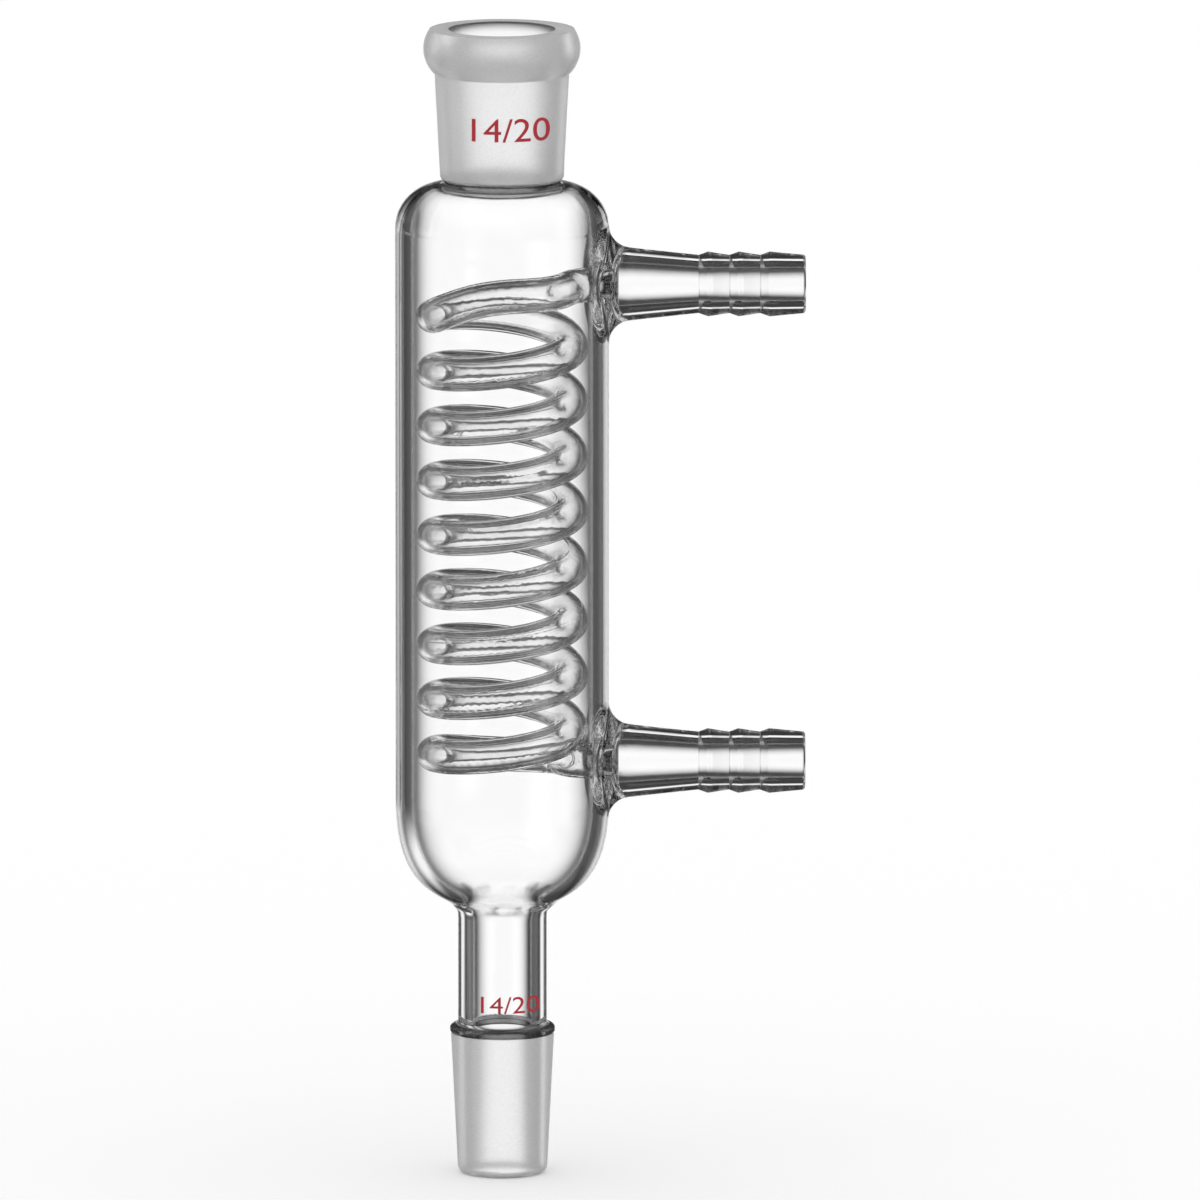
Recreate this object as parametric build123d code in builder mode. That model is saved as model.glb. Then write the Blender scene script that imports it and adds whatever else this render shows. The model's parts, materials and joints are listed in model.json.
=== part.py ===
from build123d import *
from math import asin, cos, pi, radians, sin, sqrt, tan
import os

os.makedirs("parts", exist_ok=True)

# Coil condenser in borosilicate glass, lampworked into one piece.
# Millimetres. The origin lies on the axis at the gauge plane of the lower cone, where its ground
# taper is widest. +Z runs up the axis and +X towards the two hose connections.

# Standard taper joints of size 14/20: 14.5 mm across at the large end, 20 mm long, 1 in 10
gauge_d = 14.5
ground_length = 20.0
taper = 0.1

# Lower cone, its ring and the neck above it
neck_d = 12.5
neck_bore_d = 8.4
tip_round = 1.1
tip_bore_round = 0.5
ring_d = 14.8
ring_height = 1.1
ring_lip = 0.25
ring_lip_round = 0.25
ring_round = 0.5
ring_root_round = 0.6
neck_length = 15.5

# Jacket: neck, bottom dome, straight tube and shoulder are one wall
jacket_d = 30.0
jacket_wall = 2.2
dome_height = 16.4
dome_neck_bend = 1.2
dome_side_bend = 14.2
dome_foot_wall = 0.1
dome_inner_bend = 15.0
dome_inner_neck_bend = 3.4
shoulder_round = 6.2

# Upper socket with its beaded rim, on a short clear collar
collar_d = 16.5
collar_height = 0.9
collar_root_round = 0.5
socket_foot_step = 0.4
socket_foot_round = 0.3
socket_base_round = 0.35
socket_flare = 0.105
socket_root_length = 1.0
ground_end_round = 0.3
socket_inner_flare = 2.6
bead_height = 6.3
bead_bulge_radius = 4.8
rim_d = 20.3
rim_round = 0.25

# Hose connections: tapered side arms that end in a ridged barb
arm_root_d = 10.9
arm_taper_length = 12.5
arm_foot_depth = 1.5
arm_root_round = 3.2
barb_valley_d = 8.2
barb_crest_d = 9.15
barb_rise = 1.3
barb_pitch = 4.3
barb_count = 3
barb_crest_round = 0.6
last_barb_length = 6.4
tip_end_d = 8.2
tip_end_round = 0.5
barb_bore_d = 4.9
arm_root_bore_d = 6.6
arm_bore_end_gap = 0.25
arm_bore_round = 0.9
arm_bore_blend = 12.0
throat_round = 0.5
throat_foot_sink = 0.1

# Cooling coil: a right-handed helix whose ends bend outward into ring seals in the jacket wall
coil_tube_d = 4.9
coil_tube_wall = 0.75
coil_wall_gap = 0.75
coil_pitch = 7.75
coil_turns = 8
lead_in_drop = 4.4
lead_out_drop = 1.2
lead_in_sag = 0.3
lead_out_sag = 0.6
coil_lean = 3.5
lead_level_share = 0.5
lead_bend_radius = 4.5
lead_steps = 8
seal_root_depth = 0.9
seal_spread = 1.0
seal_reach = 1.2
seal_foot_sink = 0.5
lower_arm_rise = 5.6
upper_arm_fall = 7.9

# Levels along the axis, from the tip of the cone to the rim of the socket
tip_z = -ground_length
neck_top_z = ring_height + neck_length
dome_top_z = neck_top_z + dome_height
lower_arm_z = dome_top_z + lower_arm_rise
lowest_turn_z = lower_arm_z + lead_out_drop
highest_turn_z = lowest_turn_z + coil_turns * coil_pitch
upper_arm_z = highest_turn_z + lead_in_drop
arm_levels = (lower_arm_z, upper_arm_z)
jacket_top_z = upper_arm_z + upper_arm_fall
shoulder_top_z = jacket_top_z + shoulder_round
shoulder_inside_z = shoulder_top_z - jacket_wall
socket_base_z = shoulder_top_z + collar_height
ground_low_z = socket_base_z + socket_root_length
rim_z = ground_low_z + ground_length
bead_base_z = rim_z - bead_height

# Radii that the levels and tapers give
gauge_r = gauge_d / 2
small_end_r = gauge_r - taper * ground_length / 2
neck_r = neck_d / 2
neck_bore_r = neck_bore_d / 2
jacket_r = jacket_d / 2
inner_r = jacket_r - jacket_wall
shoulder_centre_r = jacket_r - shoulder_round
socket_base_r = collar_d / 2 + socket_foot_step
bead_base_r = socket_base_r + socket_flare / 2 * (bead_base_z - socket_base_z)

# Stations along a hose connection, from the axis of the jacket outward
barb_start_x = jacket_r + arm_taper_length
last_crest_x = barb_start_x + (barb_count - 1) * barb_pitch + barb_rise
arm_tip_x = last_crest_x + last_barb_length - barb_rise
arm_foot_x = jacket_r - arm_foot_depth
arm_slope = (arm_root_d - barb_valley_d) / 2 / arm_taper_length
arm_foot_r = arm_root_d / 2 + arm_slope * arm_foot_depth
bore_floor_x = jacket_r + arm_bore_end_gap
seal_root_x = inner_r + seal_root_depth
seal_foot_x = inner_r - seal_reach

# Coil radii
coil_tube_r = coil_tube_d / 2
coil_bore_r = coil_tube_r - coil_tube_wall
coil_r = inner_r - coil_wall_gap - coil_tube_r
coil_rise = coil_pitch / (2 * pi * coil_r)
lean_slope = tan(radians(coil_lean))
lead_end_rise = coil_rise - lean_slope
seal_foot_r = coil_tube_r - seal_foot_sink
throat_foot_r = coil_bore_r - throat_foot_sink


def eased_height(start, end, end_slope, t):
    """Height at t from 0 to 1 on a curve that sets off level and ends with the given slope."""
    return start + (end - start) * t * t * (3 - 2 * t) + end_slope * t * t * (t - 1)


def lead_route(arm_z, turn_z, side, sag):
    """Points along the coil's centre line from an arm to the left end, half a turn on.

    side is -1 where the half turn passes in front of the axis and 1 where it passes behind.
    The run next to the arm sinks only by sag, and the rest comes to the height of the turns.
    """
    bend_x = sqrt((coil_r + lead_bend_radius) ** 2 - lead_bend_radius**2)
    swing = asin(lead_bend_radius / (coil_r + lead_bend_radius))
    bend_length = lead_bend_radius * (pi / 2 - swing)
    length = bend_length + coil_r * (pi - swing)
    end_slope = side * lead_end_rise * length * (1 - lead_level_share)
    points = [Vector(bore_floor_x, 0, arm_z)]
    for step in range(lead_steps + 1):
        t = step / lead_steps
        run = t * length
        if run < bend_length:
            turned = run / lead_bend_radius
            x = bend_x - lead_bend_radius * sin(turned)
            y = side * lead_bend_radius * (1 - cos(turned))
        else:
            turned = swing + (run - bend_length) / coil_r
            x = coil_r * cos(turned)
            y = side * coil_r * sin(turned)
        if t < lead_level_share:
            z = eased_height(arm_z, arm_z - sag, 0, t / lead_level_share)
        else:
            past_level = (t - lead_level_share) / (1 - lead_level_share)
            z = eased_height(arm_z - sag, turn_z, end_slope, past_level)
        points.append(Vector(x, y, z))
    return points


# Centre line of the coil: full turns between a lead behind the axis below and one in front above.
# Every turn leans, so that it runs lower in front of the axis and higher behind it.
with BuildLine() as upright_turns:
    Helix(
        pitch=coil_pitch,
        height=coil_turns * coil_pitch,
        radius=coil_r,
        center=(0, 0, lowest_turn_z),
    )
lean = Matrix([[1, 0, 0, 0], [0, 1, 0, 0], [0, lean_slope, 1, 0], [0, 0, 0, 1]])
leaning_turns = upright_turns.edge().rotate(Axis.Z, 180).transform_geometry(lean)
with BuildLine() as coil_line:
    Spline(
        *lead_route(lower_arm_z, lowest_turn_z, 1, lead_out_sag),
        tangents=[(-1, 0, 0), (0, -1, lead_end_rise)],
        tangent_scalars=[1, 1],
    )
    add(leaning_turns)
    Spline(
        *lead_route(upper_arm_z, highest_turn_z, -1, lead_in_sag),
        tangents=[(-1, 0, 0), (0, 1, -lead_end_rise)],
        tangent_scalars=[1, 1],
    )


def along_coil(radius):
    """A round rod of the given radius along the whole centre line of the coil."""
    with BuildPart() as rod:
        for run in coil_line.edges():
            with BuildSketch(Plane(run @ 0, z_dir=run % 0)):
                Circle(radius)
            sweep(path=run)
    return rod.part


def arm_plane(arm_z):
    """Plane through the axis of a hose connection, x outward along that axis and y up."""
    return Plane((0, 0, arm_z), x_dir=(1, 0, 0), z_dir=(0, -1, 0))


def arm_axis(arm_z):
    """Axis of a hose connection, from the jacket outward."""
    return Axis((0, 0, arm_z), (1, 0, 0))


coil_rod = along_coil(coil_tube_r)
coil_bore = along_coil(coil_bore_r)

# The section lies on the side away from the arms, where its seam crosses nothing
section_plane = Plane((0, 0, 0), x_dir=(-1, 0, 0), z_dir=(0, 1, 0))

with BuildPart() as condenser:
    # Wall of revolution: cone, ring, neck, dome, jacket, shoulder, collar and socket
    with BuildSketch(section_plane):
        with BuildLine():
            cone = FilletPolyline(
                (neck_bore_r, tip_z),
                (small_end_r, tip_z),
                (gauge_r, 0),
                (ring_d / 2, ring_lip),
                (ring_d / 2, ring_height),
                (neck_r, ring_height),
                (neck_r, neck_top_z),
                radius=[tip_round, ring_lip_round, ring_lip_round, ring_round, ring_root_round],
            )
            dome = Bezier(
                cone @ 1,
                (neck_r, neck_top_z + dome_neck_bend),
                (jacket_r, dome_top_z - dome_side_bend),
                (jacket_r, dome_top_z),
            )
            jacket = Line(dome @ 1, (jacket_r, jacket_top_z))
            shoulder = JernArc(jacket @ 1, (0, 1), shoulder_round, 90)
            socket = FilletPolyline(
                shoulder @ 1,
                (collar_d / 2, shoulder_top_z),
                (collar_d / 2, socket_base_z),
                (socket_base_r, socket_base_z),
                (bead_base_r, bead_base_z),
                radius=[collar_root_round, socket_foot_round, socket_base_round],
            )
            bead = RadiusArc(socket @ 1, (rim_d / 2, rim_z), -bead_bulge_radius)
            socket_inside = FilletPolyline(
                bead @ 1,
                (gauge_r, rim_z),
                (small_end_r, ground_low_z),
                (small_end_r, shoulder_inside_z + socket_inner_flare),
                radius=[rim_round, ground_end_round],
            )
            socket_flare_inside = Bezier(
                socket_inside @ 1,
                (small_end_r, shoulder_inside_z),
                (shoulder_centre_r, shoulder_inside_z),
            )
            shoulder_inside = JernArc(socket_flare_inside @ 1, (1, 0), shoulder_round - jacket_wall, -90)
            jacket_inside = Line(shoulder_inside @ 1, (inner_r, dome_top_z))
            dome_inside = Bezier(
                jacket_inside @ 1,
                (inner_r, dome_top_z - dome_inner_bend),
                (neck_bore_r, neck_top_z + dome_foot_wall + dome_inner_neck_bend),
                (neck_bore_r, neck_top_z + dome_foot_wall),
            )
            Line(dome_inside @ 1, cone @ 0)
        make_face()
    revolve(axis=Axis.Z)

    # Rounded mouth of the drip tip
    fillet(condenser.edges().group_by(Axis.Z)[0].sort_by(SortBy.RADIUS)[0], tip_bore_round)

    # Hose connections: a tapered arm with a row of ridges, still solid inside
    for arm_z in arm_levels:
        with BuildSketch(arm_plane(arm_z)) as arm:
            with BuildLine():
                Line((arm_foot_x, 0), (arm_foot_x, arm_foot_r))
                edge = Line((arm_foot_x, arm_foot_r), (barb_start_x, barb_valley_d / 2))
                for ridge in range(barb_count):
                    crest_x = barb_start_x + ridge * barb_pitch + barb_rise
                    crest = (crest_x, barb_crest_d / 2)
                    if ridge < barb_count - 1:
                        foot = (crest_x + barb_pitch - barb_rise, barb_valley_d / 2)
                    else:
                        foot = (arm_tip_x, tip_end_d / 2)
                    edge = FilletPolyline(edge @ 1, crest, foot, radius=barb_crest_round)
                Polyline(edge @ 1, (arm_tip_x, 0), (arm_foot_x, 0))
            make_face()
            fillet(arm.vertices().sort_by(Axis.X)[-2:].sort_by(Axis.Y)[-1], tip_end_round)
        revolve(axis=arm_axis(arm_z))
        # Flowed glass where the arm meets the jacket
        fillet(condenser.edges(Select.NEW), arm_root_round)

    # Cooling coil, with a flared ring seal where each end meets the jacket's inner wall
    add(coil_rod)
    for arm_z in arm_levels:
        with BuildSketch(arm_plane(arm_z)):
            with BuildLine():
                seal = Line((seal_root_x, 0), (seal_root_x, coil_tube_r + seal_spread))
                flare = Bezier(seal @ 1, (inner_r, coil_tube_r), (seal_foot_x, seal_foot_r))
                Polyline(flare @ 1, (seal_foot_x, 0), seal @ 0)
            make_face()
        revolve(axis=arm_axis(arm_z))

    # One water way from barb to barb: hose bores that widen to the jacket, and the coil's own bore
    for arm_z in arm_levels:
        with BuildSketch(arm_plane(arm_z)):
            with BuildLine():
                throat = Bezier(
                    (bore_floor_x - throat_round, throat_foot_r),
                    (bore_floor_x, coil_bore_r),
                    (bore_floor_x, coil_bore_r + throat_round),
                )
                hose_bore = FilletPolyline(
                    throat @ 1,
                    (bore_floor_x, arm_root_bore_d / 2),
                    (barb_start_x, barb_bore_d / 2),
                    (arm_tip_x, barb_bore_d / 2),
                    radius=[arm_bore_round, arm_bore_blend],
                )
                Polyline(
                    hose_bore @ 1,
                    (arm_tip_x, 0),
                    (bore_floor_x - throat_round, 0),
                    throat @ 0,
                )
            make_face()
        revolve(axis=arm_axis(arm_z), mode=Mode.SUBTRACT)
    add(coil_bore, mode=Mode.SUBTRACT)

condenser.part.label = "condenser"
export_step(condenser.part, "parts/condenser.step")
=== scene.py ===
import json
from math import asin, cos, hypot, radians, sin

import bmesh
import bpy
from bpy.props import FloatProperty, FloatVectorProperty, IntProperty, PointerProperty, StringProperty
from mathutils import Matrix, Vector


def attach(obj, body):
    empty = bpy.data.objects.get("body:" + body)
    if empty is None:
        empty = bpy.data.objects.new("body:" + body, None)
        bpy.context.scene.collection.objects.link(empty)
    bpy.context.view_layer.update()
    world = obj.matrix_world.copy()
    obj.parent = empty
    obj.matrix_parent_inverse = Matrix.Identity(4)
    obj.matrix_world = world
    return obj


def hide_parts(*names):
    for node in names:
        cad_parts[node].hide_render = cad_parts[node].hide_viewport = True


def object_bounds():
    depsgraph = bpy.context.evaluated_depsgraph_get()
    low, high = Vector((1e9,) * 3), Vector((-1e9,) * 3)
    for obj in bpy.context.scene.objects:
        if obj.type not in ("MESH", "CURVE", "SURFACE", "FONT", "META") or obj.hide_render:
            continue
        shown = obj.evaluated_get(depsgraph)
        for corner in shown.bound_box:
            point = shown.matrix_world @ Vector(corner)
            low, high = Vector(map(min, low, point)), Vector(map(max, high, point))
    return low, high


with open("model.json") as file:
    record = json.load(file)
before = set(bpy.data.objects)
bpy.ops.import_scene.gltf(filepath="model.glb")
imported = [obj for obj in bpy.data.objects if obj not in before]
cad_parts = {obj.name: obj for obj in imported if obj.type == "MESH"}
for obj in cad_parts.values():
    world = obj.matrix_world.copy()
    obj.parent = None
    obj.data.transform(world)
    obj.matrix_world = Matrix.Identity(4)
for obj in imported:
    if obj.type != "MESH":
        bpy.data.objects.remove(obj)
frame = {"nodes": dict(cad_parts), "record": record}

bl_info = {
    "name": "Coil condenser",
    "version": (1, 0, 0),
    "blender": (4, 5, 0),
    "location": "3D View > Sidebar > Condenser",
    "description": "Dresses a laboratory coil condenser in clear and ground glass on a bright stage",
    "category": "Object",
}

# Metres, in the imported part's own frame: the axis is Z and the hose connections point to +X
MM = 0.001
GLASS_NODE = "condenser"
BODY = "root"
CAD_BOX = [list(corner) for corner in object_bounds()]

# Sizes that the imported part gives
MOUNTS = {mount["name"]: mount for mount in frame["record"]["mounts"]}
TIP_HEIGHT = CAD_BOX[0][2]
RIM_HEIGHT = MOUNTS["upper_socket"]["pos_m"][2]
GROUND_LENGTH = MOUNTS["upper_socket"]["dims"]["length_mm"] * MM
GAUGE_RADIUS = MOUNTS["lower_cone"]["dims"]["r_mm"] * MM
JACKET_RADIUS = MOUNTS["jacket_clamp_zone"]["dims"]["r_mm"] * MM
ARM_HEIGHTS = [MOUNTS[name]["pos_m"][2] for name in ("hose_barb_upper", "hose_barb_lower")]

# Sizes of the part that its record doesn't hold
RING_HEIGHT = 1.1 * MM
NECK_RADIUS = 6.25 * MM
NECK_BORE_RADIUS = 4.2 * MM
JACKET_WALL = 2.2 * MM
SHOULDER_ROUND = 6.2 * MM
INNER_FLARE = 2.6 * MM
COLLAR_HEIGHT = 0.9 * MM
SOCKET_ROOT_LENGTH = 1.0 * MM
SOCKET_FOOT_RADIUS = 8.65 * MM
SOCKET_FLARE = 0.0525

# Bends of the dome's packed walls, from the foot up and from the top down
DOME_NECK_BEND = 1.2 * MM
DOME_SIDE_BEND = 14.2 * MM
DOME_INNER_NECK_BEND = 3.4 * MM
DOME_INNER_SIDE_BEND = 15.0 * MM

# Heights worked out from them, and the height over which frost fades
SOCKET_FROST_EDGE = RIM_HEIGHT - GROUND_LENGTH - SOCKET_ROOT_LENGTH
SHOULDER_TOP = SOCKET_FROST_EDGE - COLLAR_HEIGHT
FROST_FADE = 0.15 * MM

# Radii that part the outside of the glass from its inside
GROUND_BORE_LIMIT = GAUGE_RADIUS + 0.3 * MM
CONE_TAPER_LIMIT = GAUGE_RADIUS - 2.4 * MM
CONE_BORE_LIMIT = 5.2 * MM
FLARE_LIMIT = 7.9 * MM

# Painted shade where the fused glass shows dark: the ring over the cone, the collar's root and the ring
# seals behind the arms
RING_MARGIN = 0.05 * MM
RING_LEAST_RADIUS = NECK_RADIUS + 0.25 * MM
ROOT_BELOW = 0.35 * MM
ROOT_ABOVE = 0.7 * MM
ROOT_EDGE = 0.08 * MM
ROOT_INNER_RADIUS = 7.3 * MM
ROOT_OUTER_RADIUS = 9.9 * MM
ROOT_SIDE_EDGE = 0.2 * MM
SEAL_INNER_RADIUS = 3.4 * MM
SEAL_OUTER_RADIUS = 5.0 * MM
SEAL_START = 12.0 * MM
SEAL_END = 15.6 * MM
SEAL_EDGE = 0.3 * MM

# Roughness of the surfaces, and the share by which grain raises and lowers a roughness or a cover
BLOOM_ROUGHNESS = 0.8
ENAMEL_ROUGHNESS = 0.5
GROUND_GRAIN = 0.2
BLOOM_GRAIN = 0.3
ENAMEL_GRAIN = 0.4
GRAIN_DETAIL = 2.0

# Slack with which a point counts as lying on a wall, in metres and as a share of the dome's depth
POINT_SLACK = 0.001 * MM
EDGE_SLACK = 0.01 * MM
WALL_SLACK = 0.25 * MM
SHARE_SLACK = 0.002

# Distances at which two points, or a point and a plane, count as one, and steps in a digit's curve
MERGE_DISTANCE = 1e-6
CUT_DISTANCE = 1e-7
FONT_MERGE_DISTANCE = 1e-5
FONT_CURVE_STEPS = 6

# Panels on the studio's wall: turn and rise of the middle, half the width and height in degrees,
# and brightness. Each white one lies behind the glass as seen from one side.
PANELS = (
    (0, -10, 15.5, 12, 1.08),
    (-90, -3, 15, 10, 1.0),
    (-45, -25, 15, 10, 1.0),
    (135, -15, 15, 10, 1.0),
)
PANEL_SOFTNESS = 0.65
PANEL_CORNER_POWER = 3.0

# Degrees over which the wall runs into the ceiling, into the ground, and from the dark gap to its side
CEILING_START, CEILING_END = 0, 45
GROUND_START, GROUND_END = -30, -65
GAP_START, GAP_END = 20, 60

SENSOR_WIDTH = 36
CLIP_END = 100
BOUNCES = 40
TRANSPARENT_BOUNCES = 24


class GlassSettings(bpy.types.PropertyGroup):
    """Finish of the blown glass and of its two ground joints, and the shade painted where it was fused."""

    tint: FloatVectorProperty(
        name="Tint",
        description="Colour of light that has passed the glass",
        default=(1.0, 1.0, 1.0),
        size=3,
        min=0.0,
        max=1.0,
        subtype="COLOR",
    )
    refractive_index: FloatProperty(
        name="Refractive index",
        description="Refractive index of borosilicate glass",
        default=1.47,
        min=1.0,
    )
    # Painted shade: the colour that the fused ring, collar root and seals are painted at full shade
    painted_shade_colour: FloatVectorProperty(
        name="Seam colour",
        description="Colour of light that has passed fused glass at full shade",
        default=(0.02, 0.02, 0.02),
        size=3,
        min=0.0,
        max=1.0,
        subtype="COLOR",
    )
    # Shares of painted shade, on the ring and the collar's root and on the seals behind the arms
    ring_shade: FloatProperty(
        name="Ring shade",
        description="Darkness of the ring over the cone and of the collar's root",
        default=0.97,
        subtype="FACTOR",
    )
    seal_shade: FloatProperty(
        name="Seal shade",
        description="Darkness of the ring seals behind the arms",
        default=0.7,
        subtype="FACTOR",
    )
    bore_roughness: FloatProperty(
        name="Ground roughness",
        description="Roughness of the surfaces that were ground to the taper",
        default=0.32,
        subtype="FACTOR",
    )
    satin_roughness: FloatProperty(
        name="Satin roughness",
        description="Roughness of the outside of the socket",
        default=0.22,
        subtype="FACTOR",
    )
    frost_low: FloatProperty(
        name="Socket frost from",
        description="Height at which the frosted part of the socket begins",
        default=SOCKET_FROST_EDGE,
        unit="LENGTH",
    )
    frost_edge: FloatProperty(
        name="Frost edge",
        description="Height over which frosted glass turns clear",
        default=FROST_FADE,
        unit="LENGTH",
    )
    grain_scale: FloatProperty(
        name="Grain scale",
        description="Number of grains to a metre on ground glass",
        default=5200.0,
    )


class WallSettings(bpy.types.PropertyGroup):
    """Walls of the dome below the jacket and of the shoulder above it, drawn out side by side."""

    foot: FloatProperty(
        name="Foot",
        description="Height at which the neck opens into the dome",
        default=16.6 * MM,
        unit="LENGTH",
    )
    inner_foot: FloatProperty(
        name="Inner foot",
        description="Height at which the neck's bore opens into the dome",
        default=16.7 * MM,
        unit="LENGTH",
    )
    top: FloatProperty(
        name="Top",
        description="Height at which the dome meets the straight jacket",
        default=33.0 * MM,
        unit="LENGTH",
    )
    neck_rise: FloatProperty(
        name="Neck rise",
        description="Height that the outer wall gains over the neck's bend",
        default=2.6 * MM,
        unit="LENGTH",
    )
    side_rise: FloatProperty(
        name="Side rise",
        description="Height that the outer wall gains over the side's bend",
        default=-1.0 * MM,
        unit="LENGTH",
    )
    inner_neck_rise: FloatProperty(
        name="Inner neck rise",
        description="Height that the inner wall gains over the neck's bend",
        default=1.68 * MM,
        unit="LENGTH",
    )
    inner_side_rise: FloatProperty(
        name="Inner side rise",
        description="Height that the inner wall gains over the side's bend",
        default=0.59 * MM,
        unit="LENGTH",
    )
    shoulder_rise: FloatProperty(
        name="Shoulder rise",
        description="Height that the inner wall of the shoulder gains",
        default=1.0 * MM,
        unit="LENGTH",
    )


class GroundSettings(bpy.types.PropertyGroup):
    """White bloom that grinding leaves on the outside of the two joints."""

    colour: FloatVectorProperty(
        name="Colour",
        description="Colour of the ground surface",
        default=(0.93, 0.93, 0.93),
        size=3,
        min=0.0,
        max=1.0,
        subtype="COLOR",
    )
    cover: FloatProperty(
        name="Cover",
        description="Share of the light that the ground surface scatters back",
        default=0.36,
        min=0.0,
        max=1.0,
        subtype="FACTOR",
    )
    lift: FloatProperty(
        name="Lift",
        description="Distance from the glass to the bloom",
        default=0.01 * MM,
        unit="LENGTH",
    )
    grain_scale: FloatProperty(
        name="Grain scale",
        description="Number of grains to a metre in the bloom",
        default=5200.0,
    )


class MarkSettings(bpy.types.PropertyGroup):
    """Fired size marks on the socket and on the neck."""

    words: StringProperty(
        name="Size",
        description="Size of the ground joints, large end over length in millimetres",
        default="14/20",
    )
    colour: FloatVectorProperty(
        name="Colour",
        description="Colour of the fired enamel",
        default=(0.429, 0.013, 0.026),
        size=3,
        min=0.0,
        max=1.0,
        subtype="COLOR",
    )
    colour_grain: FloatProperty(
        name="Colour grain",
        description="Share by which the grain darkens and lightens the enamel",
        default=0.14,
        subtype="FACTOR",
    )
    grain_scale: FloatProperty(
        name="Grain scale",
        description="Number of grains to a metre in the enamel",
        default=2600.0,
    )
    thickness: FloatProperty(
        name="Thickness",
        description="Thickness of the enamel",
        default=0.04 * MM,
        unit="LENGTH",
    )
    lift: FloatProperty(
        name="Lift",
        description="Distance from the round of the glass to the underside of the enamel",
        default=0.04 * MM,
        unit="LENGTH",
    )
    strips: IntProperty(
        name="Strips",
        description="Upright strips that a mark is cut into, to follow the round of the glass",
        default=24,
        min=4,
    )
    socket_height: FloatProperty(
        name="Socket mark height",
        description="Height of the middle of the mark on the socket",
        default=129.1 * MM,
        unit="LENGTH",
    )
    socket_letter: FloatProperty(
        name="Socket digit height",
        description="Height of the digits on the socket",
        default=3.3 * MM,
        unit="LENGTH",
    )
    socket_width: FloatProperty(
        name="Socket mark width",
        description="Width of the mark on the socket, measured straight across",
        default=10.9 * MM,
        unit="LENGTH",
    )
    socket_shift: FloatProperty(
        name="Socket mark shift",
        description="Distance from the axis to the middle of the mark on the socket",
        default=1.28 * MM,
        unit="LENGTH",
    )
    neck_height: FloatProperty(
        name="Neck mark height",
        description="Height of the middle of the mark on the neck",
        default=4.75 * MM,
        unit="LENGTH",
    )
    neck_letter: FloatProperty(
        name="Neck digit height",
        description="Height of the digits on the neck",
        default=2.4 * MM,
        unit="LENGTH",
    )
    neck_width: FloatProperty(
        name="Neck mark width",
        description="Width of the mark on the neck, measured straight across",
        default=8.2 * MM,
        unit="LENGTH",
    )
    neck_shift: FloatProperty(
        name="Neck mark shift",
        description="Distance from the axis to the middle of the mark on the neck",
        default=1.1 * MM,
        unit="LENGTH",
    )


class StageSettings(bpy.types.PropertyGroup):
    """Camera, floor and light."""

    target: FloatVectorProperty(
        name="Camera target",
        description="Point that the camera looks at",
        default=(13.7 * MM, 0.0, 61.4 * MM),
        size=3,
        unit="LENGTH",
    )
    camera_elevation: FloatProperty(
        name="Camera elevation",
        description="Angle of the camera above the horizon",
        default=radians(9.2),
        subtype="ANGLE",
    )
    camera_distance: FloatProperty(
        name="Camera distance",
        description="Distance from the camera to its target",
        default=3.6,
        unit="LENGTH",
    )
    view_width: FloatProperty(
        name="View width",
        description="Width of the picture at the target",
        default=168.2 * MM,
        unit="LENGTH",
    )
    floor_size: FloatProperty(
        name="Floor size",
        description="Side of the floor",
        default=60.0,
        unit="LENGTH",
    )
    floor_colour: FloatVectorProperty(
        name="Floor colour",
        description="Colour of the floor",
        default=(0.96, 0.96, 0.96),
        size=3,
        min=0.0,
        max=1.0,
        subtype="COLOR",
    )
    gap_light: FloatProperty(
        name="Gap light",
        description="Brightness of the dark cards beside the panels",
        default=0.03,
    )
    side_light: FloatProperty(
        name="Side light",
        description="Brightness of the walls beside and in front of the object",
        default=0.12,
    )
    upper_light: FloatProperty(
        name="Upper light",
        description="Brightness of the ceiling",
        default=0.7,
    )
    lower_light: FloatProperty(
        name="Lower light",
        description="Brightness of the ground far below",
        default=0.4,
    )


def lay(tree, kind, **settings):
    """Add one node to a tree."""
    node = tree.nodes.new(kind)
    for name, value in settings.items():
        setattr(node, name, value)
    return node


def feed(tree, value, socket):
    """Give a socket a link or a plain value."""
    if isinstance(value, bpy.types.NodeSocket):
        tree.links.new(value, socket)
    else:
        socket.default_value = value


def figure(tree, operation, *values):
    """Work out a number from one to three others."""
    node = lay(tree, "ShaderNodeMath", operation=operation)
    for value, socket in zip(values, node.inputs):
        feed(tree, value, socket)
    return node.outputs[0]


def ramp(tree, value, start, end):
    """Run smoothly from 0 at start to 1 at end."""
    node = lay(tree, "ShaderNodeMapRange", interpolation_type="SMOOTHSTEP")
    feed(tree, value, node.inputs["Value"])
    feed(tree, start, node.inputs["From Min"])
    feed(tree, end, node.inputs["From Max"])
    return node.outputs["Result"]


def blend(tree, share, first, second):
    """Mix two numbers."""
    node = lay(tree, "ShaderNodeMix", data_type="FLOAT")
    feed(tree, share, node.inputs[0])
    feed(tree, first, node.inputs[2])
    feed(tree, second, node.inputs[3])
    return node.outputs[0]


def band(tree, value, low, high, edge):
    """Run from 0 up to 1 at low and back to 0 at high."""
    return figure(
        tree, "MULTIPLY",
        ramp(tree, value, low - edge, low + edge),
        ramp(tree, value, high + edge, high - edge),
    )


def distance(tree, first, second):
    """Length of the slope over two numbers that stand square to each other."""
    squares = [figure(tree, "MULTIPLY", side, side) for side in (first, second)]
    return figure(tree, "SQRT", figure(tree, "ADD", *squares))


def speckled(tree, speckle, value, depth):
    """A value that the grain raises and lowers by a share of it."""
    return figure(tree, "MULTIPLY_ADD", speckle, depth * value, (1 - depth / 2) * value)


def object_position(tree):
    """Place on the object, in its own coordinates."""
    return lay(tree, "ShaderNodeTexCoord").outputs["Object"]


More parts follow.
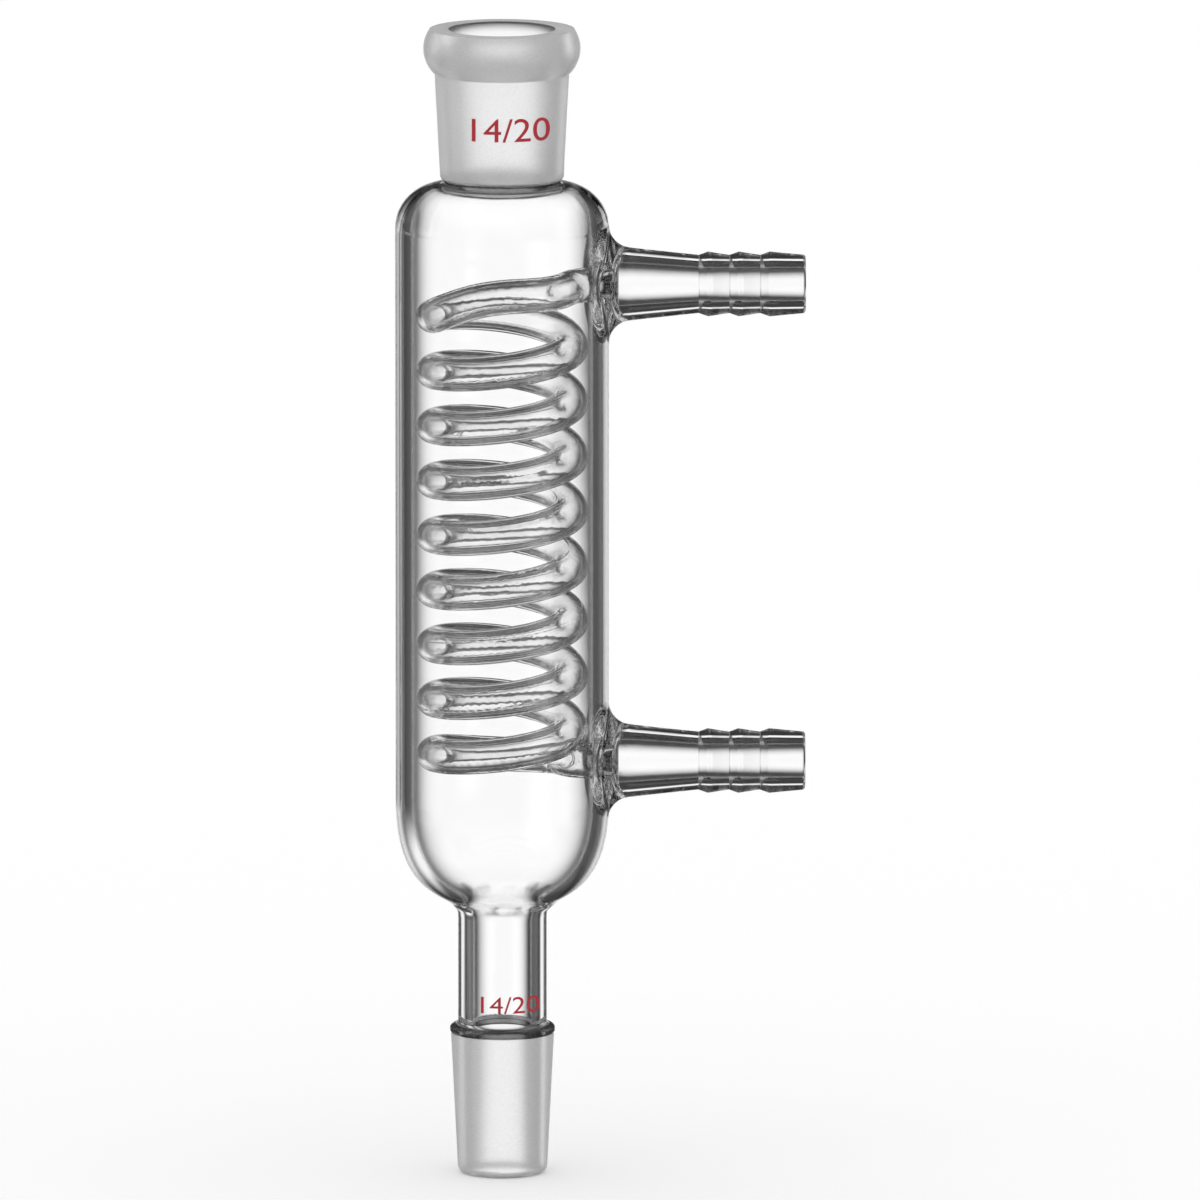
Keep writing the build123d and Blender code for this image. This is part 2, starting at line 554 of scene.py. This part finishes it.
def open_group(name, inputs, outputs):
    """Start a node group with its inputs and outputs, and return it with its two end nodes."""
    group = bpy.data.node_groups.new(name, "ShaderNodeTree")
    for label, (kind, value) in inputs.items():
        socket = group.interface.new_socket(name=label, in_out="INPUT", socket_type=kind)
        if value is not None:
            socket.default_value = value
    for label, kind in outputs.items():
        group.interface.new_socket(name=label, in_out="OUTPUT", socket_type=kind)
    return group, lay(group, "NodeGroupInput"), lay(group, "NodeGroupOutput")


def open_place_group(name, inputs, outputs):
    """Start a node group that reads a position, and return it with its end nodes and x, y and z."""
    group, entry, result = open_group(name, {"Position": ("NodeSocketVector", None), **inputs}, outputs)
    split = lay(group, "ShaderNodeSeparateXYZ")
    group.links.new(entry.outputs["Position"], split.inputs[0])
    return group, entry, result, split.outputs


def place_group(tree, group, **values):
    """Put a node group into a tree and fill its inputs."""
    node = lay(tree, "ShaderNodeGroup", node_tree=group)
    for label, value in values.items():
        feed(tree, value, node.inputs[label.replace("_", " ").capitalize()])
    return node


def grain_group():
    """Fine speckle over a surface, from 0 to 1."""
    group, entry, result = open_group(
        "fine_grain",
        {
            "Position": ("NodeSocketVector", None),
            "Scale": ("NodeSocketFloat", 1000.0),
        },
        {"Grain": "NodeSocketFloat"},
    )
    speckle = lay(group, "ShaderNodeTexNoise")
    group.links.new(entry.outputs["Position"], speckle.inputs["Vector"])
    group.links.new(entry.outputs["Scale"], speckle.inputs["Scale"])
    speckle.inputs["Detail"].default_value = GRAIN_DETAIL
    group.links.new(speckle.outputs[0], result.inputs["Grain"])
    return group


def frost_group():
    """Where the joints are ground: 1 on a ground taper, and 1 on the satin outside of the socket."""
    group, entry, result, (x, y, z) = open_place_group(
        "ground_joints",
        {
            "Socket low": ("NodeSocketFloat", SOCKET_FROST_EDGE),
            "Edge": ("NodeSocketFloat", FROST_FADE),
        },
        {"Ground": "NodeSocketFloat", "Satin": "NodeSocketFloat"},
    )
    radius = distance(group, x, y)
    edge = entry.outputs["Edge"]
    low = entry.outputs["Socket low"]
    socket_zone = ramp(group, z, figure(group, "SUBTRACT", low, edge), figure(group, "ADD", low, edge))
    inside = figure(group, "LESS_THAN", radius, GROUND_BORE_LIMIT)
    bore = figure(group, "MULTIPLY", socket_zone, inside)
    satin = figure(group, "MULTIPLY", socket_zone, figure(group, "SUBTRACT", 1.0, inside))
    cone_zone = ramp(group, z, edge, figure(group, "MULTIPLY", edge, -1.0))
    cone = figure(group, "MULTIPLY", cone_zone, figure(group, "GREATER_THAN", radius, CONE_TAPER_LIMIT))
    group.links.new(figure(group, "MAXIMUM", bore, cone), result.inputs["Ground"])
    group.links.new(satin, result.inputs["Satin"])
    return group


def painted_shade_group():
    """Where shade is painted on fused glass: 1 on the ring over the cone, at the collar's root and in the
    ring seals.
    """
    group, entry, result, (x, y, z) = open_place_group(
        "fused_seams", {}, {"Ring": "NodeSocketFloat", "Seal": "NodeSocketFloat"}
    )
    radius = distance(group, x, y)
    ring = band(group, z, RING_MARGIN, RING_HEIGHT + 2 * RING_MARGIN, RING_MARGIN)
    ring = figure(group, "MULTIPLY", ring, figure(group, "GREATER_THAN", radius, RING_LEAST_RADIUS))
    root = figure(
        group, "MULTIPLY",
        band(group, z, SHOULDER_TOP - ROOT_BELOW, SHOULDER_TOP + ROOT_ABOVE, ROOT_EDGE),
        band(group, radius, ROOT_INNER_RADIUS, ROOT_OUTER_RADIUS, ROOT_SIDE_EDGE),
    )
    group.links.new(figure(group, "MAXIMUM", ring, root), result.inputs["Ring"])
    seals = 0.0
    for height in ARM_HEIGHTS:
        off_axis = distance(group, y, figure(group, "SUBTRACT", z, height))
        disc = ramp(group, off_axis, SEAL_OUTER_RADIUS, SEAL_INNER_RADIUS)
        seals = figure(group, "MAXIMUM", seals, disc)
    seals = figure(group, "MULTIPLY", seals, band(group, x, SEAL_START, SEAL_END, SEAL_EDGE))
    group.links.new(seals, result.inputs["Seal"])
    return group


def panel_group():
    """A soft round-cornered patch of light or dark on the studio's wall, 1 in it and 0 outside."""
    group, entry, result = open_group(
        "studio_panel",
        {
            "Azimuth": ("NodeSocketFloat", 0.0),
            "Elevation": ("NodeSocketFloat", 0.0),
            "Turn": ("NodeSocketFloat", 0.0),
            "Rise": ("NodeSocketFloat", 0.0),
            "Half width": ("NodeSocketFloat", 0.3),
            "Half height": ("NodeSocketFloat", 0.3),
            "Softness": ("NodeSocketFloat", 0.3),
        },
        {"Share": "NodeSocketFloat"},
    )
    across, up = (
        figure(
            group, "DIVIDE",
            figure(group, "SUBTRACT", entry.outputs[way], entry.outputs[middle]),
            entry.outputs[half],
        )
        for way, middle, half in (("Azimuth", "Turn", "Half width"), ("Elevation", "Rise", "Half height"))
    )
    reach = figure(
        group, "POWER",
        figure(
            group, "ADD",
            figure(group, "POWER", figure(group, "ABSOLUTE", across), PANEL_CORNER_POWER),
            figure(group, "POWER", figure(group, "ABSOLUTE", up), PANEL_CORNER_POWER),
        ),
        1 / PANEL_CORNER_POWER,
    )
    soft = entry.outputs["Softness"]
    share = ramp(group, reach, figure(group, "ADD", 1.0, soft), figure(group, "SUBTRACT", 1.0, soft))
    group.links.new(share, result.inputs["Share"])
    return group


def new_material(name):
    """Start a material, and return it with its node tree and its Principled shader."""
    material = bpy.data.materials.new(name)
    material.use_nodes = True
    return material, material.node_tree, material.node_tree.nodes["Principled BSDF"]


def mix_colours(tree, share, first, second):
    """Mix two colours."""
    node = lay(tree, "ShaderNodeMix", data_type="RGBA")
    tree.links.new(share, node.inputs["Factor"])
    node.inputs[6].default_value = (*first, 1.0)
    node.inputs[7].default_value = (*second, 1.0)
    return node.outputs[2]


def glass_material(settings):
    """Clear blown glass with shade painted into its colour where it was fused, ground on the two tapers.
    """
    material, tree, shader = new_material("condenser_glass")
    shader.inputs["Metallic"].default_value = 0.0
    shader.inputs["Transmission Weight"].default_value = 1.0
    shader.inputs["IOR"].default_value = settings.refractive_index
    where = object_position(tree)
    speckle = place_group(tree, grain_group(), Position=where, Scale=settings.grain_scale).outputs["Grain"]
    zones = place_group(
        tree, frost_group(), Position=where, Socket_low=settings.frost_low, Edge=settings.frost_edge
    ).outputs
    seam_shade = place_group(tree, painted_shade_group(), Position=where).outputs
    # Shade painted into the base colour over the fused ring, the collar's root and the seals
    shade = figure(
        tree, "MAXIMUM",
        figure(tree, "MULTIPLY", seam_shade["Ring"], settings.ring_shade),
        figure(tree, "MULTIPLY", seam_shade["Seal"], settings.seal_shade),
    )
    colour = mix_colours(tree, shade, settings.tint, settings.painted_shade_colour)
    tree.links.new(colour, shader.inputs["Base Color"])
    rough = figure(
        tree, "ADD",
        figure(tree, "MULTIPLY", zones["Ground"], settings.bore_roughness),
        figure(tree, "MULTIPLY", zones["Satin"], settings.satin_roughness),
    )
    uneven = speckled(tree, speckle, 1.0, GROUND_GRAIN)
    tree.links.new(figure(tree, "MULTIPLY", rough, uneven), shader.inputs["Roughness"])
    return material


def enamel_material(settings):
    """Fired red enamel with a faint speckle."""
    material, tree, shader = new_material("size_mark_enamel")
    grain = bpy.data.node_groups["fine_grain"]
    where = object_position(tree)
    speckle = place_group(tree, grain, Position=where, Scale=settings.grain_scale).outputs["Grain"]
    dark = [(1 - settings.colour_grain) * part for part in settings.colour]
    light = [min(1.0, (1 + settings.colour_grain) * part) for part in settings.colour]
    tree.links.new(mix_colours(tree, speckle, dark, light), shader.inputs["Base Color"])
    tree.links.new(speckled(tree, speckle, ENAMEL_ROUGHNESS, ENAMEL_GRAIN), shader.inputs["Roughness"])
    return material


def bloom_material(settings):
    """White scatter of ground glass, half open to the glass below it."""
    material, tree, shader = new_material("ground_bloom")
    grain = bpy.data.node_groups["fine_grain"]
    where = object_position(tree)
    speckle = place_group(tree, grain, Position=where, Scale=settings.grain_scale).outputs["Grain"]
    shader.inputs["Base Color"].default_value = (*settings.colour, 1.0)
    shader.inputs["Roughness"].default_value = BLOOM_ROUGHNESS
    cover = speckled(tree, speckle, settings.cover, BLOOM_GRAIN)
    outward = figure(tree, "SUBTRACT", 1.0, lay(tree, "ShaderNodeNewGeometry").outputs["Backfacing"])
    tree.links.new(figure(tree, "MULTIPLY", cover, outward), shader.inputs["Alpha"])
    return material


def height_on_wall(t, levels):
    """Height, and its rate of change with t, on a dome wall that runs from t of 0 at the neck to 1."""
    foot, neck_bend, side_bend, top = levels
    s = 1 - t
    height = s**3 * foot + 3 * s * s * t * neck_bend + 3 * s * t * t * side_bend + t**3 * top
    lower_rate, middle_rate, upper_rate = neck_bend - foot, side_bend - neck_bend, top - side_bend
    rate = 3 * s * s * lower_rate + 6 * s * t * middle_rate + 3 * t * t * upper_rate
    return height, rate


def redraw_wall(mesh, normals, narrow, wide, levels, rises):
    """Redraw one wall of the dome with its bends raised, its radii kept and its shading true."""
    depth = wide - narrow
    foot, neck_bend, side_bend, top = levels
    drawn = (foot, neck_bend + rises[0], side_bend + rises[1], top)
    slopes = {}
    for vert in mesh.vertices:
        share = (vert.co.xy.length - narrow) / depth
        if not foot - EDGE_SLACK < vert.co.z < top - EDGE_SLACK:
            continue
        if not -SHARE_SLACK < share < 1 + SHARE_SLACK:
            continue
        # Over the wall the radius follows 3 t^2 - 2 t^3, which this turns back into t
        t = 0.5 - sin(asin(1 - 2 * min(1.0, max(0.0, share))) / 3)
        if abs(vert.co.z - height_on_wall(t, levels)[0]) < WALL_SLACK:
            vert.co.z, rate = height_on_wall(t, drawn)
            slopes[vert.index] = (6 * depth * t * (1 - t), rate)
    for loop in mesh.loops:
        if loop.vertex_index in slopes:
            across, up = slopes[loop.vertex_index]
            outward = mesh.vertices[loop.vertex_index].co.xy.normalized() * up
            normal = Vector((*outward, -across)).normalized()
            normals[loop.index] = normal if normal.dot(normals[loop.index]) > 0 else -normal


def thin_shoulder(mesh, normals, rise):
    """Raise the inner wall of the shoulder, and shorten the flare above it by as much."""
    low = SHOULDER_TOP - SHOULDER_ROUND
    inside = SHOULDER_TOP - JACKET_WALL
    flare_top = inside + INNER_FLARE
    centre_radius = JACKET_RADIUS - SHOULDER_ROUND
    middle_of_wall = SHOULDER_ROUND - JACKET_WALL / 2
    arc_stretch = (inside + rise - low) / (inside - low)
    flare_stretch = (flare_top - inside - rise) / (flare_top - inside)
    stretches = {}
    for vert in mesh.vertices:
        radius, height = vert.co.xy.length, vert.co.z
        if not low < height < flare_top - POINT_SLACK:
            continue
        if radius > FLARE_LIMIT and hypot(max(0.0, radius - centre_radius), height - low) > middle_of_wall:
            continue
        if height <= inside + POINT_SLACK:
            vert.co.z = low + (height - low) * arc_stretch
            stretches[vert.index] = arc_stretch
        else:
            vert.co.z = inside + rise + (height - inside) * flare_stretch
            stretches[vert.index] = flare_stretch
    for loop in mesh.loops:
        if loop.vertex_index in stretches:
            normal = normals[loop.index]
            normal.z /= stretches[loop.vertex_index]
            normal.normalize()


def redraw_walls(mesh, settings):
    """Redraw both walls of the dome and the inner wall of the shoulder."""
    normals = [corner.vector.copy() for corner in mesh.corner_normals]
    thin_shoulder(mesh, normals, settings.shoulder_rise)
    foot, inner_foot, top = settings.foot, settings.inner_foot, settings.top
    redraw_wall(
        mesh, normals, NECK_RADIUS, JACKET_RADIUS,
        (foot, foot + DOME_NECK_BEND, top - DOME_SIDE_BEND, top),
        (settings.neck_rise, settings.side_rise),
    )
    redraw_wall(
        mesh, normals, NECK_BORE_RADIUS, JACKET_RADIUS - JACKET_WALL,
        (inner_foot, inner_foot + DOME_INNER_NECK_BEND, top - DOME_INNER_SIDE_BEND, top),
        (settings.inner_neck_rise, settings.inner_side_rise),
    )
    mesh.normals_split_custom_set(normals)


def all_parts(bm):
    """Every vertex, edge and face."""
    return bm.verts[:] + bm.edges[:] + bm.faces[:]


def add_object(name, bm):
    """Turn a finished bmesh into an object of the scene."""
    mesh = bpy.data.meshes.new(name)
    bm.to_mesh(mesh)
    bm.free()
    thing = bpy.data.objects.new(name, mesh)
    bpy.context.scene.collection.objects.link(thing)
    return thing


def glass_skin(name, low, high, least_radius, lift):
    """A sheet just over the outside of the glass, between two heights."""
    bm = bmesh.new()
    bm.from_mesh(frame["nodes"][GLASS_NODE].data)
    bmesh.ops.remove_doubles(bm, verts=bm.verts, dist=MERGE_DISTANCE)
    for height, way in ((low, -1), (high, 1)):
        bmesh.ops.bisect_plane(
            bm, geom=all_parts(bm), dist=CUT_DISTANCE, clear_outer=True,
            plane_co=(0, 0, height), plane_no=(0, 0, way),
        )
    inner = [face for face in bm.faces if face.calc_center_median().xy.length < least_radius]
    bmesh.ops.delete(bm, geom=inner, context="FACES")
    bm.normal_update()
    for vert in bm.verts:
        vert.co += vert.normal * lift
    return add_object(name, bm)


def socket_radius(height):
    """Radius of the socket's outside at a height on its straight flare."""
    return SOCKET_FOOT_RADIUS + SOCKET_FLARE * (height - SOCKET_FROST_EDGE)


def neck_radius(height):
    """Radius of the neck, the same at every height."""
    return NECK_RADIUS


def flat_words(words):
    """A flat mesh of the words in the built-in font, upright in X and Z, with its middle at the origin."""
    curve = bpy.data.curves.new("words", "FONT")
    curve.body = words
    curve.resolution_u = FONT_CURVE_STEPS
    holder = bpy.data.objects.new("words", curve)
    bpy.context.scene.collection.objects.link(holder)
    bpy.context.view_layer.update()
    mesh = bpy.data.meshes.new_from_object(holder.evaluated_get(bpy.context.evaluated_depsgraph_get()))
    bpy.data.objects.remove(holder)
    bm = bmesh.new()
    bm.from_mesh(mesh)
    bpy.data.meshes.remove(mesh)
    bmesh.ops.remove_doubles(bm, verts=bm.verts, dist=FONT_MERGE_DISTANCE)
    low = Vector(min(v.co[axis] for v in bm.verts) for axis in range(3))
    high = Vector(max(v.co[axis] for v in bm.verts) for axis in range(3))
    middle, size = (low + high) / 2, high - low
    bmesh.ops.translate(bm, verts=bm.verts, vec=-middle)
    bmesh.ops.scale(bm, verts=bm.verts, vec=(1 / size.x, 1 / size.y, 1))
    return bm


def fire_mark(name, words, letter, width, shift, height, radius_at, settings):
    """Wrap the words round the glass as a thin coat of enamel."""
    bm = flat_words(words)
    bmesh.ops.scale(bm, verts=bm.verts, vec=(width, letter, 1))
    bmesh.ops.translate(bm, verts=bm.verts, vec=(shift, height, 0))
    for cut in range(1, settings.strips):
        at = shift - width / 2 + width * cut / settings.strips
        bmesh.ops.bisect_plane(
            bm, geom=all_parts(bm), dist=CUT_DISTANCE, plane_co=(at, 0, 0), plane_no=(1, 0, 0)
        )
    for vert in bm.verts:
        across, up = vert.co.x, vert.co.y
        radius = radius_at(up) + settings.lift
        vert.co = (across, -((radius**2 - across**2) ** 0.5), up)
    bmesh.ops.recalc_face_normals(bm, faces=bm.faces)
    if sum(face.normal.y * face.calc_area() for face in bm.faces) > 0:
        bmesh.ops.reverse_faces(bm, faces=bm.faces)
    bmesh.ops.solidify(bm, geom=all_parts(bm), thickness=settings.thickness)
    bmesh.ops.recalc_face_normals(bm, faces=bm.faces)
    return add_object(name, bm)


class CONDENSER_OT_glass(bpy.types.Operator):
    """Dress the blown body in clear and ground glass"""

    bl_idname = "condenser.glass"
    bl_label = "Blown glass body"

    def execute(self, context):
        material = glass_material(context.scene.condenser_glass)
        mesh = frame["nodes"][GLASS_NODE].data.copy()
        redraw_walls(mesh, context.scene.condenser_walls)
        mesh.materials.clear()
        mesh.materials.append(material)
        body = bpy.data.objects.new("blown_body", mesh)
        context.scene.collection.objects.link(body)
        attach(body, BODY)
        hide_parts(GLASS_NODE)
        return {"FINISHED"}


class CONDENSER_OT_bloom(bpy.types.Operator):
    """Lay the white bloom of ground glass over the socket and the cone"""

    bl_idname = "condenser.bloom"
    bl_label = "Ground bloom"

    def execute(self, context):
        settings = context.scene.condenser_ground
        bloom = bloom_material(settings)
        lift = settings.lift
        skins = (
            glass_skin("socket_bloom", SOCKET_FROST_EDGE, RIM_HEIGHT + MM, GROUND_BORE_LIMIT, lift),
            glass_skin("cone_bloom", TIP_HEIGHT - MM, 0.0, CONE_BORE_LIMIT, lift),
        )
        for skin in skins:
            skin.data.materials.append(bloom)
            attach(skin, BODY)
        return {"FINISHED"}


class CONDENSER_OT_marks(bpy.types.Operator):
    """Fire the red size marks onto the socket and the neck"""

    bl_idname = "condenser.marks"
    bl_label = "Size marks"

    def execute(self, context):
        settings = context.scene.condenser_marks
        words = settings.words
        enamel = enamel_material(settings)
        marks = (
            fire_mark(
                "socket_size_mark", words, settings.socket_letter, settings.socket_width,
                settings.socket_shift, settings.socket_height, socket_radius, settings,
            ),
            fire_mark(
                "neck_size_mark", words, settings.neck_letter, settings.neck_width,
                settings.neck_shift, settings.neck_height, neck_radius, settings,
            ),
        )
        for mark in marks:
            mark.data.materials.append(enamel)
            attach(mark, BODY)
        return {"FINISHED"}


def through_glass(tree):
    """1 for light that comes by way of the glass, and 0 for what the camera or the floor sees itself."""
    paths = lay(tree, "ShaderNodeLightPath").outputs
    return figure(tree, "MAXIMUM", paths["Is Glossy Ray"], paths["Is Transmission Ray"])


def build_world(settings):
    """A white surround, which the glass sees as dark walls with a few white panels."""
    world = bpy.data.worlds.new("studio")
    bpy.context.scene.world = world
    world.use_nodes = True
    tree = world.node_tree
    background = tree.nodes["Background"]
    background.inputs["Color"].default_value = (1.0, 1.0, 1.0, 1.0)
    split = lay(tree, "ShaderNodeSeparateXYZ")
    tree.links.new(lay(tree, "ShaderNodeTexCoord").outputs["Generated"], split.inputs[0])
    x, y, z = split.outputs
    azimuth = figure(tree, "ARCTAN2", x, y)
    elevation = figure(tree, "ARCSINE", z)
    above = ramp(tree, elevation, radians(CEILING_START), radians(CEILING_END))
    below = ramp(tree, elevation, radians(GROUND_START), radians(GROUND_END))
    beside = ramp(tree, figure(tree, "ABSOLUTE", azimuth), radians(GAP_START), radians(GAP_END))
    level = blend(tree, below, settings.side_light, settings.lower_light)
    level = blend(tree, above, level, settings.upper_light)
    level = blend(tree, beside, settings.gap_light, level)
    panel = panel_group()
    for turn, rise, half_width, half_height, light in PANELS:
        share = place_group(
            tree, panel,
            Azimuth=azimuth, Elevation=elevation, Turn=radians(turn), Rise=radians(rise),
            Half_width=radians(half_width), Half_height=radians(half_height), Softness=PANEL_SOFTNESS,
        ).outputs["Share"]
        level = blend(tree, share, level, light)
    tree.links.new(blend(tree, through_glass(tree), 1.0, level), background.inputs["Strength"])


def build_floor(settings):
    """A pale floor that keeps the shadow of the glass and that the glass looks through."""
    bm = bmesh.new()
    bmesh.ops.create_grid(bm, x_segments=1, y_segments=1, size=settings.floor_size / 2)
    bmesh.ops.translate(bm, verts=bm.verts, vec=(0, 0, TIP_HEIGHT))
    floor = add_object("floor", bm)
    material, tree, shader = new_material("floor")
    tree.nodes.remove(shader)
    paint = lay(tree, "ShaderNodeBsdfDiffuse")
    paint.inputs["Color"].default_value = (*settings.floor_colour, 1.0)
    glow = lay(tree, "ShaderNodeEmission")
    glow.inputs["Strength"].default_value = 1.0 - settings.floor_colour[0]
    surface = lay(tree, "ShaderNodeAddShader")
    tree.links.new(paint.outputs[0], surface.inputs[0])
    tree.links.new(glow.outputs[0], surface.inputs[1])
    clear = lay(tree, "ShaderNodeBsdfTransparent")
    mix = lay(tree, "ShaderNodeMixShader")
    tree.links.new(through_glass(tree), mix.inputs[0])
    tree.links.new(surface.outputs[0], mix.inputs[1])
    tree.links.new(clear.outputs[0], mix.inputs[2])
    tree.links.new(mix.outputs[0], tree.nodes["Material Output"].inputs["Surface"])
    floor.data.materials.append(material)


def build_camera(settings):
    """A long lens at the photo's angle."""
    scene = bpy.context.scene
    camera = bpy.data.objects.new("camera", bpy.data.cameras.new("camera"))
    scene.collection.objects.link(camera)
    scene.camera = camera
    back = Vector((0, -cos(settings.camera_elevation), sin(settings.camera_elevation)))
    camera.location = Vector(settings.target) + back * settings.camera_distance
    camera.rotation_euler = (-back).to_track_quat("-Z", "Y").to_euler()
    camera.data.sensor_width = SENSOR_WIDTH
    camera.data.lens = camera.data.sensor_width * settings.camera_distance / settings.view_width
    camera.data.clip_end = CLIP_END


class CONDENSER_OT_stage(bpy.types.Operator):
    """Set up the studio: panels, floor and camera"""

    bl_idname = "condenser.stage"
    bl_label = "Stage"

    def execute(self, context):
        settings = context.scene.condenser_stage
        build_world(settings)
        build_floor(settings)
        build_camera(settings)
        scene = context.scene
        scene.view_settings.view_transform = "Standard"
        scene.cycles.max_bounces = BOUNCES
        scene.cycles.transmission_bounces = BOUNCES
        scene.cycles.glossy_bounces = BOUNCES
        scene.cycles.transparent_max_bounces = TRANSPARENT_BOUNCES
        return {"FINISHED"}


OPERATORS = (CONDENSER_OT_glass, CONDENSER_OT_bloom, CONDENSER_OT_marks, CONDENSER_OT_stage)


class CONDENSER_PT_steps(bpy.types.Panel):
    """The steps that dress the condenser, in order"""

    bl_label = "Coil condenser"
    bl_space_type = "VIEW_3D"
    bl_region_type = "UI"
    bl_category = "Condenser"

    def draw(self, context):
        """List the steps."""
        for operator in OPERATORS:
            self.layout.operator(operator.bl_idname)


SETTINGS = {
    "condenser_glass": GlassSettings,
    "condenser_walls": WallSettings,
    "condenser_ground": GroundSettings,
    "condenser_marks": MarkSettings,
    "condenser_stage": StageSettings,
}


def register():
    """Add the settings, the steps and the panel."""
    for group in SETTINGS.values():
        bpy.utils.register_class(group)
    for name, group in SETTINGS.items():
        setattr(bpy.types.Scene, name, PointerProperty(type=group))
    for kind in (*OPERATORS, CONDENSER_PT_steps):
        bpy.utils.register_class(kind)


def unregister():
    """Take the panel, the steps and the settings away again."""
    for kind in (CONDENSER_PT_steps, *reversed(OPERATORS)):
        bpy.utils.unregister_class(kind)
    for name in SETTINGS:
        delattr(bpy.types.Scene, name)
    for group in reversed(SETTINGS.values()):
        bpy.utils.unregister_class(group)


def main():
    """Run every step."""
    register()
    bpy.ops.condenser.glass()
    bpy.ops.condenser.bloom()
    bpy.ops.condenser.marks()
    bpy.ops.condenser.stage()


if __name__ == "__main__":
    main()
